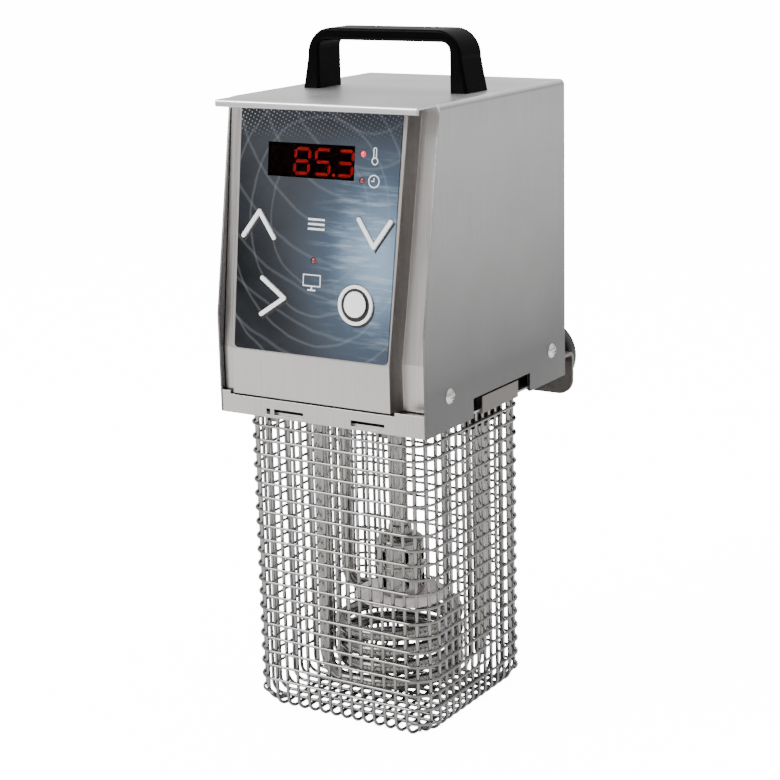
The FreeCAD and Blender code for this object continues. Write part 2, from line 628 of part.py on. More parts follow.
def knurled_nut(radius, height, bore, count):
    """Round nut with rounded grooves around its rim, standing on z = 0."""
    body = round_edges(Part.makeCylinder(radius, height), 0.6, lambda e: True)
    grooves = [Part.makeCylinder(0.7, height + 2, V(radius * math.cos(a), radius * math.sin(a), -1))
               for a in (2 * math.pi * k / count for k in range(count))]
    return cut(body, grooves + [Part.makeCylinder(bore, height + 2, V(0, 0, -1))])


# ---- heater and probes -------------------------------------------------------------------------
def heater():
    """One tube: down at the rear, three and a half falling turns, and up again at the front."""
    radius_to_leg = math.hypot(LEG_REAR[0], LEG_REAR[1] - COIL_Y)
    bearing = math.atan2(LEG_REAR[1] - COIL_Y, LEG_REAR[0])
    end_angle = bearing - math.acos(COIL_R / radius_to_leg)
    start_angle = -math.pi / 2
    sweep = (end_angle - start_angle) + 6 * math.pi
    height = COIL_Z[1] - COIL_Z[0]
    rise = height / (sweep * COIL_R)
    helix = Part.makeHelix(height * 2 * math.pi / sweep, height, COIL_R)
    helix.rotate(V(0, 0, 0), V(0, 0, 1), math.degrees(start_angle))
    helix.translate(V(0, COIL_Y, COIL_Z[0]))
    foot = V(0, COIL_Y - COIL_R, COIL_Z[0])
    head = V(COIL_R * math.cos(end_angle), COIL_Y + COIL_R * math.sin(end_angle), COIL_Z[1])
    lead_front = math.dist((foot.x, foot.y), LEG_FRONT)
    lead_rear = math.dist((head.x, head.y), LEG_REAR)
    legs = [(LEG_FRONT, foot.z - rise * lead_front, foot), (LEG_REAR, head.z + rise * lead_rear, head)]
    paths = [filleted_path([V(*leg, TERMINAL_Z), V(*leg, low), end], ELBOW_R) for leg, low, end in legs]
    return fuse([pipe(path, HEATER_R) for path in (paths[0], helix, paths[1])])


def probe(place, tip):
    """Closed sensor tube with a round nose at its lower end."""
    stem = rod(PROBE_R, *place, (tip + PROBE_R, PROBE_TOP))
    return stem.fuse(Part.makeSphere(PROBE_R, V(*place, tip + PROBE_R)))


# ---- guard -------------------------------------------------------------------------------------
def wall_grille(places, span, plane, outward, turned):
    """Flat welded grille: uprights, and the straight runs of the rings outside them."""
    reach = (span[0] + TO_RING, span[1] - TO_RING)
    ring_plane = plane + outward * RING_OUT
    if turned:
        uprights = [rod(UPRIGHT_R, plane, y, (RING_Z[-1], UPRIGHT_TOP)) for y in places]
        runs = [rod_y(RING_R, ring_plane, z, reach) for z in RING_Z[:-1]]
    else:
        uprights = [rod(UPRIGHT_R, x, plane, (RING_Z[-1], UPRIGHT_TOP)) for x in places]
        runs = [rod_x(RING_R, ring_plane, z, reach) for z in RING_Z[:-1]]
    return uprights[0].multiFuse(uprights[1:] + runs)


def corner_grille(side, end):
    """Rounded corner: two upright wires and the quarter bends of the rings."""
    cx = side * (CAGE_HALF - CAGE_CORNER)
    cy = CAGE_Y[end] + (CAGE_CORNER if end == 0 else -CAGE_CORNER)
    fy = -1 if end == 0 else 1
    ring_r = CAGE_CORNER + RING_OUT

    def spot(radius, angle, z):
        return V(cx + side * radius * math.cos(angle), cy + fy * radius * math.sin(angle), z)

    pieces = []
    for angle in (math.radians(27), math.radians(63)):
        top, low = spot(CAGE_CORNER, angle, UPRIGHT_TOP), spot(CAGE_CORNER, angle, FLOOR_Z)
        pieces.append(pipe(filleted_path([top, low, spot(0.5, angle, FLOOR_Z)], CAGE_BEND), UPRIGHT_R))
    for z in RING_Z:
        bend = Part.Arc(spot(ring_r, 0, z), spot(ring_r, math.pi / 4, z), spot(ring_r, math.pi / 2, z))
        pieces.append(pipe(Part.Wire(bend.toShape()), RING_R))
    return pieces[0].multiFuse(pieces[1:])


def floor_grille():
    """Tray of crossing wires with turned-up ends that meet the four walls."""
    low = FLOOR_Z - (2 * UPRIGHT_R - WELD)
    start = RING_Z[-1]
    wires = []
    for x in ACROSS:
        points = [V(x, CAGE_Y[0], start), V(x, CAGE_Y[0], low), V(x, CAGE_Y[1], low), V(x, CAGE_Y[1], start)]
        wires.append(pipe(filleted_path(points, CAGE_BEND), UPRIGHT_R))
    for y in ALONG:
        points = [V(-CAGE_HALF, y, start), V(-CAGE_HALF, y, FLOOR_Z), V(CAGE_HALF, y, FLOOR_Z),
                  V(CAGE_HALF, y, start)]
        wires.append(pipe(filleted_path(points, CAGE_BEND - 1.85), UPRIGHT_R))
    return wires[0].multiFuse(wires[1:])


def cage_ear():
    """Bent strip on the guard's right side: welded inside the wires, seated in the casing's notch."""
    inner = CAGE_HALF - UPRIGHT_R
    web = (UPRIGHT_TOP + 0.2, UPRIGHT_TOP + 0.2 + SHEET)
    return fuse([block((inner - SHEET, inner), EAR_Y, (EAR_LOW, web[1])),
                 block((inner - SHEET, HALF), EAR_Y, web),
                 block((INSIDE, HALF), EAR_Y, (web[0], NOTCH_HEIGHT - 1))])


def cage_tab(x):
    """Upright tab welded inside the guard's front wires, which enters a slot in the floor of the head."""
    face = CAGE_Y[0] + UPRIGHT_R
    tab = block((x - TAB_HALF, x + TAB_HALF), (face, face + SHEET), TAB_Z)
    return round_edges(tab, TAB_ROUND, lambda e: along(e, 1))


# ---- clamp -------------------------------------------------------------------------------------
def clamp_bracket():
    """Bent hook over the vessel's rim: screwed flange, short web and a hanging leg with round corners."""
    low, high = BRACKET_Z
    y0, y1, t, x = HEAD_DEPTH, BRACKET_Y, BRACKET_T, -BRACKET_HALF
    bend, flange_top = BRACKET_BEND, BRACKET_FLANGE

    def bend_arc(radius, first, last):
        turns = [math.radians(a) for a in (first, 45, last)]
        return Part.Arc(*[V(x, y1 - bend + radius * math.cos(a), high - bend + radius * math.sin(a))
                          for a in turns]).toShape()

    def run(start, end):
        return Part.LineSegment(V(x, *start), V(x, *end)).toShape()

    outline = [run((y0, flange_top), (y0 + t, flange_top)), run((y0 + t, flange_top), (y0 + t, high)),
               run((y0 + t, high), (y1 - bend, high)), bend_arc(bend, 90, 0),
               run((y1, high - bend), (y1, low)), run((y1, low), (y1 - t, low)),
               run((y1 - t, low), (y1 - t, high - bend)), bend_arc(bend - t, 0, 90),
               run((y1 - bend, high - t), (y0, high - t)), run((y0, high - t), (y0, flange_top))]
    strip = Part.Face(Part.Wire(outline)).extrude(V(2 * BRACKET_HALF, 0, 0))
    flank = round_edges(block((x, -x), (y0 - 1, y1 + 1), (low, flange_top)), BRACKET_CORNER,
                        lambda e: along(e, 1))
    holes = [rod_y(SCREW_R + BUSH_SHANK, side * CLAMP_X, CLAMP_Z, (y1 - 5, y1 + 1)) for side in (-1, 1)]
    holes += [rod_y(SCREW_HOLE_R, sx, sz, (y0 - 1, y0 + 4)) for sx, sz in BRACKET_SCREWS]
    return cut(strip.common(flank), holes)


def clamp_bush(side):
    """Threaded bush fixed in the bracket's leg."""
    x = side * CLAMP_X
    body = fuse([rod_y(SCREW_R + BUSH_WALL, x, CLAMP_Z, (BRACKET_Y, BUSH_END)),
                 rod_y(SCREW_R + BUSH_SHANK, x, CLAMP_Z, (BRACKET_Y - BRACKET_T, BRACKET_Y + 1))])
    return body.cut(rod_y(SCREW_R + RUNNING, x, CLAMP_Z, (BRACKET_Y - 5, BUSH_END + 1)))


def clamp_pad(side):
    """Pressure pad that swivels on the screw's end."""
    pad = round_edges(rod_y(PAD_R, side * CLAMP_X, CLAMP_Z, PAD_Y), 0.6, lambda e: True)
    return pad.cut(rod_y(NOSE_R + RUNNING, side * CLAMP_X, CLAMP_Z, (PAD_Y[0] + 1.5, PAD_Y[1] + 1)))


def clamp_screw(side):
    """Screw with a reduced nose in the pad and its tail in the knob."""
    x = side * CLAMP_X
    nose = rod_y(NOSE_R, x, CLAMP_Z, (PAD_Y[0] + 1.6, PAD_Y[1] + 1))
    return fuse([nose, rod_y(SCREW_R, x, CLAMP_Z, (PAD_Y[1] + 0.1, KNOB_HUB - 2))])


def clamp_knob(side):
    """Round hand knob, hollow towards the bracket, with a hub and a shallow ring on its outer face."""
    x = side * CLAMP_X
    thick = KNOB_Y[1] - KNOB_Y[0]
    disc = round_edges(Part.makeCylinder(KNOB_R, thick), 2.2, lambda e: True)
    start = 6.0
    hub = round_edges(Part.makeCylinder(KNOB_HUB_R, KNOB_HUB - KNOB_Y[0] - start), 1.2, lambda e: True)
    hub.translate(V(0, 0, start))
    outer, inner = KNOB_DISH
    dish = ring(outer, inner, 0, 0, (thick - 1, thick + 1))
    hollow = Part.makeCylinder(SCREW_R + BUSH_WALL + 1.5, BUSH_END - BRACKET_Y + 1.3, V(0, 0, -0.3))
    knob = aimed(cut(fuse([disc, hub]), [dish, hollow]), V(x, KNOB_Y[0], CLAMP_Z), V(0, 1, 0))
    return knob.cut(rod_y(SCREW_R, x, CLAMP_Z, (KNOB_Y[0], KNOB_HUB - 2)))


# ---- inside the head ---------------------------------------------------------------------------
def board_parts(keys):
    """Control board behind the panel, its standoffs, its key switches and the display block."""
    bores = [rod(POST_BORE, x, v, (BOARD_W[0] - THROUGH, BOARD_W[1] + THROUGH)) for x, v in BOARD_POSTS]
    board = cut(block(BOARD_X, BOARD_V, BOARD_W), bores)
    standoffs = [ring(POST_R, POST_BORE, x, v, (BOARD_W[1], -SHEET)) for x, v in BOARD_POSTS]
    half = SWITCH_HALF
    switches = []
    for x, v in keys:
        body = block((x - half, x + half), (v - half, v + half), (BOARD_W[1], SWITCH_TOP))
        plunger = rod(KEY_PIN_R - 0.3, x, v, (SWITCH_TOP - 0.1, KEY_PIN_END - KEY_TRAVEL - RUNNING))
        switches.append(body.fuse(plunger))
    across = (WINDOW_X[0] - 1, WINDOW_X[1] + 1)
    upward = (WINDOW_V[0] - 1, WINDOW_V[1] + 1)
    module = block(across, upward, (BOARD_W[1], DISPLAY_FACE))
    return [[on_panel(solid) for solid in group] for group in ([board], standoffs, switches, [module])]


def indicator(place):
    """Small round lamp with a domed face, standing on the control board."""
    x, v = place
    stem = rod(INDICATOR_R, x, v, (BOARD_W[1], 0.2))
    dome = Part.makeSphere(INDICATOR_R * 1.3, V(x, v, 0.2 - INDICATOR_R * 0.83))
    cap = dome.common(rod(INDICATOR_R, x, v, (0.1, 3)))
    return on_panel(stem.fuse(cap))


def transformer():
    """Laminated core with its winding."""
    core = block((-24, 22), (116, 146), (SHEET, 36))
    windows = [block(x, (115, 147), (9, 28)) for x in ((-18, -10), (8, 16))]
    winding = round_edges(block((-17.9, 15.9), (112, 148), (9.1, 27.9)), 3.0, lambda e: along(e, 2))
    return [cut(core, windows + [winding]), winding.cut(block((-10, 8), (111, 151), (0, 40)))]


def heat_sink():
    """Finned sink for the heater's power switch."""
    base = block((INSIDE - 3, INSIDE), (60, 118), (40, 100))
    fins = [block((INSIDE - 14, INSIDE - 2), (60 + 8 * k, 62 + 8 * k), (40, 100)) for k in range(8)]
    return fuse([base] + fins)


def cable_gland():
    """Screwed gland for the mains lead, with its dome nut outside and lock nut inside."""
    x, z = GLAND
    outside = HEAD_DEPTH
    flange = aimed(hexagon(12.0, 0, 0, (0, 5)), V(x, outside, z), V(0, 1, 0))
    dome = round_edges(rod_y(10.0, x, z, (outside + 4.9, outside + 17)), 3.0,
                       lambda e: e.BoundBox.YMin > outside + 10)
    barrel = rod_y(GLAND_R - 0.1, x, z, (outside - 12, outside + 1))
    nut = aimed(hexagon(11.5, 0, 0, (0, 4)), V(x, outside - SHEET - 4, z), V(0, 1, 0))
    bore = rod_y(LEAD_R, x, z, (outside - 20, outside + 30))
    body = fuse([flange, dome, barrel]).cut(bore)
    return body, nut.cut(rod_y(GLAND_R - 0.1, x, z, (outside - 20, outside)))


# ---- the assembly ------------------------------------------------------------------------------
def build_head():
    save("casing", casing())
    save("front_panel", front_panel())
    save("base_pan", base_pan())
    save("rear_panel", rear_panel())
    save("handle", handle())
    side_screw = screw(SIDE_SCREW_R, 7.0, 4.2, 2.6)
    save("side_screws", *[aimed(side_screw, V(side * HALF, y, z), V(-side, 0, 0))
                          for side in (-1, 1) for y, z in SIDE_SCREWS])
    handle_screw = screw(HANDLE_SCREW_R, 13.0, 4.0, 2.4)
    save("handle_screws", *[aimed(handle_screw, V(x, y, HEAD_HEIGHT - SHEET), V(0, 0, 1))
                            for x, y in handle_feet()])


def build_panel():
    middles = []
    for name in list(CHEVRONS) + ["key_round"]:
        shape, middle = key(name)
        save(name, shape)
        middles.append(middle)
    save("label_overlay", label_overlay())
    across = (WINDOW_X[0] + RUNNING, WINDOW_X[1] - RUNNING)
    upward = (WINDOW_V[0] + RUNNING, WINDOW_V[1] - RUNNING)
    save("display_window", on_panel(block(across, upward, LENS_W)))
    save("display_digits", *display())
    board, standoffs, switches, module = board_parts(middles)
    save("control_board", *board)
    save("board_standoffs", *standoffs)
    save("key_switches", *switches)
    save("display_block", *module)
    save("indicator_lamps", *[indicator(place) for place in INDICATORS])


def build_drive():
    save("motor_can", motor_can())
    save("motor_mount", motor_mount())
    save("motor_shaft", rod(MOTOR_SHAFT_R, 0, AXIS_Y, (SHAFT_JOIN, MOTOR_SHAFT_TOP)))
    low, high = COUPLING_Z
    coupling = round_edges(rod(COUPLING_R, 0, AXIS_Y, COUPLING_Z), 0.8, lambda e: True)
    save("shaft_coupling", cut(coupling, [rod(SHAFT_R, 0, AXIS_Y, (low - 1, SHAFT_JOIN)),
                                          rod(MOTOR_SHAFT_R, 0, AXIS_Y, (SHAFT_JOIN, high + 1))]))
    save("cooling_fan", fan())
    save("drive_shaft", rod(SHAFT_R, 0, AXIS_Y, (SHAFT_LOW, SHAFT_JOIN)))
    save("impeller", impeller())
    save("pump_column", pump_column())
    save("column_bushes", *[ring(COLUMN_BORE, SHAFT_R + RUNNING, 0, AXIS_Y, z) for z in BUSH_Z])
    nut = knurled_nut(NUT_R, NUT_HEIGHT, COLUMN_R, NUT_GROOVES)
    nut.translate(V(0, AXIS_Y, PUMP_Z[1]))
    save("column_nut", nut)
    save("pump_housing", pump_housing())
    disc = round_edges(rod(DISC_R, 0, AXIS_Y, (PUMP_Z[0] - SHEET, PUMP_Z[0])), 0.4, lambda e: True)
    save("flow_disc", disc.cut(rod(PUMP_INLET_R, 0, AXIS_Y, (PUMP_Z[0] - 3, PUMP_Z[0] + 1))))


def build_wet_parts():
    save("heater_element", heater())
    fittings = floor_fittings()
    save("floor_nuts", *[hexagon(radius + 3.6, x, y, (SHEET, SHEET + 4)).cut(rod(radius - 0.1, x, y, (0, 9)))
                         for radius, (x, y) in fittings])
    save("level_probe", probe(LEVEL_PROBE, LEVEL_TIP))
    save("heat_probe", probe(HEAT_PROBE, HEAT_TIP))
    save("heater_terminals", *[fuse([rod(3.0, x, y, (TERMINAL_Z, TERMINAL_Z + 5)),
                                     rod(1.2, x, y, (TERMINAL_Z + 4, TERMINAL_Z + 12))])
                               for x, y in (LEG_FRONT, LEG_REAR)])


def build_electrics():
    core, winding = transformer()
    save("transformer_core", core)
    save("transformer_winding", *winding.Solids)
    spacers = [rod_x(2.5, y, z, (-INSIDE, -61.0)) for y in (64, 142) for z in (34, 116)]
    save("power_board", fuse([block((-61.5, -59.9), (60, 146), (30, 120))] + spacers))
    relays = [block((-59.9, -44), (y, y + 19), (z, z + 15)) for y, z in ((66, 40), (66, 62), (92, 40))]
    capacitors = [rod_x(7.0, y, 88, (-59.9, -40)) for y in (74, 92, 110)]
    save("power_board_parts", *(relays + capacitors))
    save("heat_sink", heat_sink())
    save("terminal_block", cut(block((28, 50), (124, 140), (SHEET, 16)),
                               [rod(2.2, 32.0 + 7 * k, 132, (8, 20)) for k in range(3)]))
    save("cable_gland", *cable_gland())


def build_guard():
    straight_x = (-(CAGE_HALF - CAGE_CORNER), CAGE_HALF - CAGE_CORNER)
    straight_y = (CAGE_Y[0] + CAGE_CORNER, CAGE_Y[1] - CAGE_CORNER)
    save("guard_front", wall_grille(ACROSS, straight_x, CAGE_Y[0], -1, False))
    save("guard_rear", wall_grille(ACROSS, straight_x, CAGE_Y[1], 1, False))
    save("guard_left", wall_grille(ALONG, straight_y, -CAGE_HALF, -1, True))
    save("guard_right", wall_grille(ALONG, straight_y, CAGE_HALF, 1, True))
    save("guard_corners", *[corner_grille(side, end) for side in (-1, 1) for end in (0, 1)])
    save("guard_floor", floor_grille())
    save("guard_ears", cage_ear(), mirrored(cage_ear()))
    save("guard_tabs", *[cage_tab(x) for x in TAB_X])


def build_clamp():
    save("clamp_bracket", clamp_bracket())
    bracket_screw = screw(BRACKET_SCREW_R, 6.5, 3.8, 2.2)
    save("bracket_screws", *[aimed(bracket_screw, V(x, HEAD_DEPTH + BRACKET_T, z), V(0, -1, 0))
                             for x, z in BRACKET_SCREWS])
    save("clamp_bushes", clamp_bush(-1), clamp_bush(1))
    for name, side in (("left", -1), ("right", 1)):
        save("clamp_pad_" + name, clamp_pad(side))
        save("clamp_screw_" + name, clamp_screw(side))
        save("clamp_knob_" + name, clamp_knob(side))


os.makedirs("parts", exist_ok=True)
build_head()
build_panel()
build_drive()
build_wet_parts()
build_electrics()
build_guard()
build_clamp()
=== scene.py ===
import json
import math

import bmesh
import bpy
from mathutils import Matrix, Vector


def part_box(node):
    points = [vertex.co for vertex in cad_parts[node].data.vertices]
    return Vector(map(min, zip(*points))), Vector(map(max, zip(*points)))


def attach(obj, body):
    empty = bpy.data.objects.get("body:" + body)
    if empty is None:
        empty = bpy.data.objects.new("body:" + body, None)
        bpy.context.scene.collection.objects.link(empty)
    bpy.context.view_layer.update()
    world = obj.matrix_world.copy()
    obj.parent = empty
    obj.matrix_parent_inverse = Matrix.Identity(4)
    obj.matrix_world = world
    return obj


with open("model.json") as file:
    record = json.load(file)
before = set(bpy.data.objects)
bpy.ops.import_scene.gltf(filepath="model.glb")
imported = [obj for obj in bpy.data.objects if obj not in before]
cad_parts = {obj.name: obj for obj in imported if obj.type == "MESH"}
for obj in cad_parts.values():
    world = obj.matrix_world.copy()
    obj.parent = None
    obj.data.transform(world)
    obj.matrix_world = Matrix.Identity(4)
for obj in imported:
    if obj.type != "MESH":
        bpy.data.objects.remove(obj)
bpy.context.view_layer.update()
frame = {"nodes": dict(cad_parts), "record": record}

# ---- where things are --------------------------------------------------------------------------
MM = 0.001
# Head coordinates are in millimetres: x = 0 on the middle plane, y = 0 at the front, z = 0 at the head's
# underside. The cover's skirt reaches a little lower.
CASING_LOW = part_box("casing")[0]
CASING_FRONT = -1.2
CASING_SKIRT = -1.6
HEAD_TO_ROW = Vector((0, CASING_LOW.y / MM - CASING_FRONT, CASING_LOW.z / MM - CASING_SKIRT))
PANEL_FOOT = Vector((0, 0.4, 34.0))
PANEL_HEAD = Vector((0, 17.0, 165.2))
TILT = math.atan2(PANEL_HEAD.y - PANEL_FOOT.y, PANEL_HEAD.z - PANEL_FOOT.z)
FILM_FACE = 0.5                     # the label's surface, over the steel
CHEVRONS = {
    "key_up": ((-51.3, 61.1), (-41.5, 74.5), (-31.7, 61.1)),
    "key_down": ((21.0, 74.2), (30.6, 60.6), (40.2, 74.2)),
    "key_next": ((-38.2, 39.4), (-23.9, 29.8), (-38.2, 20.2)),
}
ROUND_KEY = (20.9, 30.0)
GROOVE_OUTER = 8.65                 # the round key's groove is dark between these radii
GROOVE_INNER = 6.75
CRESCENT_SHIFT = 0.35               # moves the inner edge, so that the groove shows as a crescent
LAMP_SPLIT = (138, 139)             # heights between the lit lamp above and the dull lamps below

# The label's print, in panel millimetres: across and up the lean.
SLATE = (0.006, 0.0065, 0.0075)
BLUE_GREY = (0.040, 0.044, 0.052)
HALO_BLUE = (0.060, 0.092, 0.135)
GLOW_WHITE = (0.24, 0.34, 0.46)
STREAK_WHITE = (0.50, 0.60, 0.70)
HAZE_GREY = (0.065, 0.073, 0.085)
RIPPLE_GREY = (0.30, 0.33, 0.36)
DOT_WHITE = (0.62, 0.64, 0.65)
GLOW = (33.0, 39.0)
GLOW_SQUASH = 0.72
# Each set of ripples: its centre, its squash up the lean, its pitch, its offset and its strength.
RIPPLES = (((-4.0, 74.0), 0.84, 13.0, 2.0, 0.13), ((26.0, 158.0), 0.95, 17.0, 5.0, 0.11))
RIPPLE_EDGE = 0.08                  # a ripple's half width, as a share of the pitch
RIPPLE_CLEAR = (20.0, 34.0)         # the ripples fade in over this distance from their centre
DOT_PITCH = 2.1
DOT_TURN = math.radians(24)
DOT_EDGE = (0.12, 0.22)             # a dot's radii, full and gone, as shares of the pitch
DOT_BAND = (113.0, 127.0)           # the dots fade in up the lean


def row(x, y, z):
    """Head coordinates in millimetres to the row frame in metres."""
    return (Vector((x, y, z)) + HEAD_TO_ROW) * MM


PANEL = (Matrix.Translation(row(*PANEL_FOOT)) @ Matrix.Rotation(math.pi / 2 - TILT, 4, "X")
         @ Matrix.Scale(MM, 4))


# ---- materials ---------------------------------------------------------------------------------
class Look:
    """One node material: a principled shader and the textures that feed it."""

    def __init__(self, name, color, roughness, metallic=0.0, **sockets):
        self.material = bpy.data.materials.new(name)
        self.material.use_nodes = True
        self.tree = self.material.node_tree
        self.shader = self.tree.nodes["Principled BSDF"]
        self.put("Base Color", (*color, 1))
        self.put("Roughness", roughness)
        self.put("Metallic", metallic)
        for socket, value in sockets.items():
            self.put(socket.replace("_", " "), value)
        self.place = self.node("ShaderNodeTexCoord").outputs["Object"]

    def put(self, socket, value):
        """Sets a shader input to a number, a colour or another node's output."""
        if isinstance(value, bpy.types.NodeSocket):
            self.tree.links.new(value, self.shader.inputs[socket])
        else:
            self.shader.inputs[socket].default_value = value

    def node(self, kind, inputs=None, **settings):
        """Adds a node; its inputs are numbers, colours or other nodes' outputs."""
        made = self.tree.nodes.new(kind)
        for name, value in settings.items():
            setattr(made, name, value)
        for name, value in (inputs or {}).items():
            if isinstance(value, bpy.types.NodeSocket):
                self.tree.links.new(value, made.inputs[name])
            else:
                made.inputs[name].default_value = value
        return made

    def moved(self, vector, location=(0, 0, 0), rotation=(0, 0, 0), scale=(1, 1, 1), kind="POINT"):
        """A vector moved, turned and scaled, or for the kind TEXTURE the reverse of that."""
        inputs = {"Vector": vector, "Location": location, "Rotation": rotation, "Scale": scale}
        return self.node("ShaderNodeMapping", inputs, vector_type=kind).outputs[0]

    def noise(self, vector, scale, detail=3.0, roughness=0.5, distortion=0.0):
        inputs = {"Vector": vector, "Scale": scale, "Detail": detail, "Roughness": roughness,
                  "Distortion": distortion}
        return self.node("ShaderNodeTexNoise", inputs).outputs[0]

    def span(self, value, low, high, to_low, to_high, smooth=False):
        """Maps a value's range onto another, clamped."""
        inputs = {"Value": value, "From Min": low, "From Max": high, "To Min": to_low, "To Max": to_high}
        kind = "SMOOTHSTEP" if smooth else "LINEAR"
        return self.node("ShaderNodeMapRange", inputs, interpolation_type=kind).outputs[0]

    def math(self, operation, a, b=0.0):
        """One arithmetic node."""
        return self.node("ShaderNodeMath", {0: a, 1: b}, operation=operation).outputs[0]

    def mix(self, factor, a, b, blend="MIX"):
        """Blends two colours by a factor."""
        made = self.node("ShaderNodeMix", data_type="RGBA", blend_type=blend)
        for index, value in ((0, factor), (6, a), (7, b)):
            if isinstance(value, bpy.types.NodeSocket):
                self.tree.links.new(value, made.inputs[index])
            else:
                made.inputs[index].default_value = value if index == 0 else (*value, 1)
        return made.outputs[2]

    def distance(self, vector, point):
        made = self.node("ShaderNodeVectorMath", {0: vector, 1: point}, operation="DISTANCE")
        return made.outputs["Value"]

    def axes(self, vector):
        return self.node("ShaderNodeSeparateXYZ", {0: vector}).outputs

    def bump(self, height, distance, strength=1.0, edge=0.0):
        """Feeds the shader's normal from a height, over edges rounded by a radius."""
        made = self.node("ShaderNodeBump", {"Height": height, "Distance": distance, "Strength": strength})
        if edge:
            bevel = self.node("ShaderNodeBevel", {"Radius": edge}, samples=6)
            self.tree.links.new(bevel.outputs[0], made.inputs["Normal"])
        self.put("Normal", made.outputs[0])


def brushed(name, color, roughness, grain, edge=0.0005, contrast=0.10, painted_shades=()):
    """Brushed stainless steel; grain holds how fine the texture is along each axis, per metre.

    Each of the painted shades holds two heights, in metres, and the share of the tone left at the lower one
    and below: painted shade that darkens the steel downwards.
    """
    look = Look(name, color, roughness, metallic=1.0)
    lines = look.noise(look.moved(look.place, scale=grain), 1.0, detail=4.0, roughness=0.65)
    cloud = look.noise(look.place, 14.0, detail=4.0, roughness=0.6)
    dark = tuple(c * (1 - contrast) for c in color)
    light = tuple(min(1, c * (1 + contrast * 0.6)) for c in color)
    tone = look.mix(look.span(lines, 0.3, 0.7, 0, 1), dark, light)
    smudges_and_painted_shade = look.mix(look.span(cloud, 0.42, 0.7, 0, 0.35), tone, tuple(c * 0.9 for c in color))
    height = look.axes(look.place)[2]
    # Painted shade: each span multiplies the tone down below its heights, so the steel darkens towards the
    # foot.
    for low, high, left in painted_shades:
        smudges_and_painted_shade = look.mix(look.span(height, low, high, 1, 0), smudges_and_painted_shade, (left, left, left), "MULTIPLY")
    look.put("Base Color", smudges_and_painted_shade)
    rough = look.math("ADD", look.span(lines, 0.25, 0.75, roughness - 0.06, roughness + 0.07),
                      look.span(cloud, 0.35, 0.7, -0.03, 0.05))
    look.put("Roughness", rough)
    look.bump(lines, 0.00002, 0.5, edge)
    return look.material


def wire_steel(name, color, roughness):
    """Electropolished wire: bright, with faint drawing marks and duller welds."""
    look = Look(name, color, roughness, metallic=1.0)
    marks = look.noise(look.place, 900.0, detail=3.0)
    cloud = look.noise(look.place, 60.0, detail=3.0)
    duller = tuple(c * 0.8 for c in color)
    look.put("Base Color", look.mix(look.span(cloud, 0.35, 0.65, 0, 1), duller, color))
    look.put("Roughness", look.span(marks, 0.3, 0.7, roughness - 0.05, roughness + 0.1))
    look.bump(marks, 0.00003, 0.35)
    return look.material


def heater_steel(name, color, roughness):
    """Polished tube that heat has tinted in broad patches."""
    look = Look(name, color, roughness, metallic=1.0)
    cloud = look.noise(look.place, 45.0, detail=5.0, roughness=0.6)
    fine = look.noise(look.place, 1400.0, detail=2.0)
    warm = (color[0] * 0.95, color[1] * 0.86, color[2] * 0.74)
    look.put("Base Color", look.mix(look.span(cloud, 0.45, 0.7, 0, 0.6), color, warm))
    look.put("Roughness", look.span(fine, 0.3, 0.7, roughness - 0.04, roughness + 0.08))
    look.bump(fine, 0.00002, 0.4)
    return look.material


def moulded(name, color, roughness, grain=0.00006, edge=0.0004, **sockets):
    """Moulded plastic with a fine spark-eroded grain."""
    look = Look(name, color, roughness, **sockets)
    pits = look.noise(look.place, 2600.0, detail=2.0)
    cloud = look.noise(look.place, 38.0, detail=4.0)
    paler = tuple(c * 1.25 for c in color)
    look.put("Base Color", look.mix(look.span(cloud, 0.3, 0.7, 0, 1), color, paler))
    look.put("Roughness", look.math("ADD", look.span(pits, 0.3, 0.7, roughness - 0.05, roughness + 0.05),
                                    look.span(cloud, 0.3, 0.7, -0.03, 0.03)))
    look.bump(pits, grain, 0.6, edge)
    return look.material


def in_panel(look):
    """The surface point in the panel's own frame, in millimetres: across, up the lean, outward."""
    lean = (math.pi / 2 - TILT, 0, 0)
    there = look.moved(look.place, location=row(*PANEL_FOOT), rotation=lean, kind="TEXTURE")
    return look.moved(there, scale=(1 / MM, 1 / MM, 1 / MM))


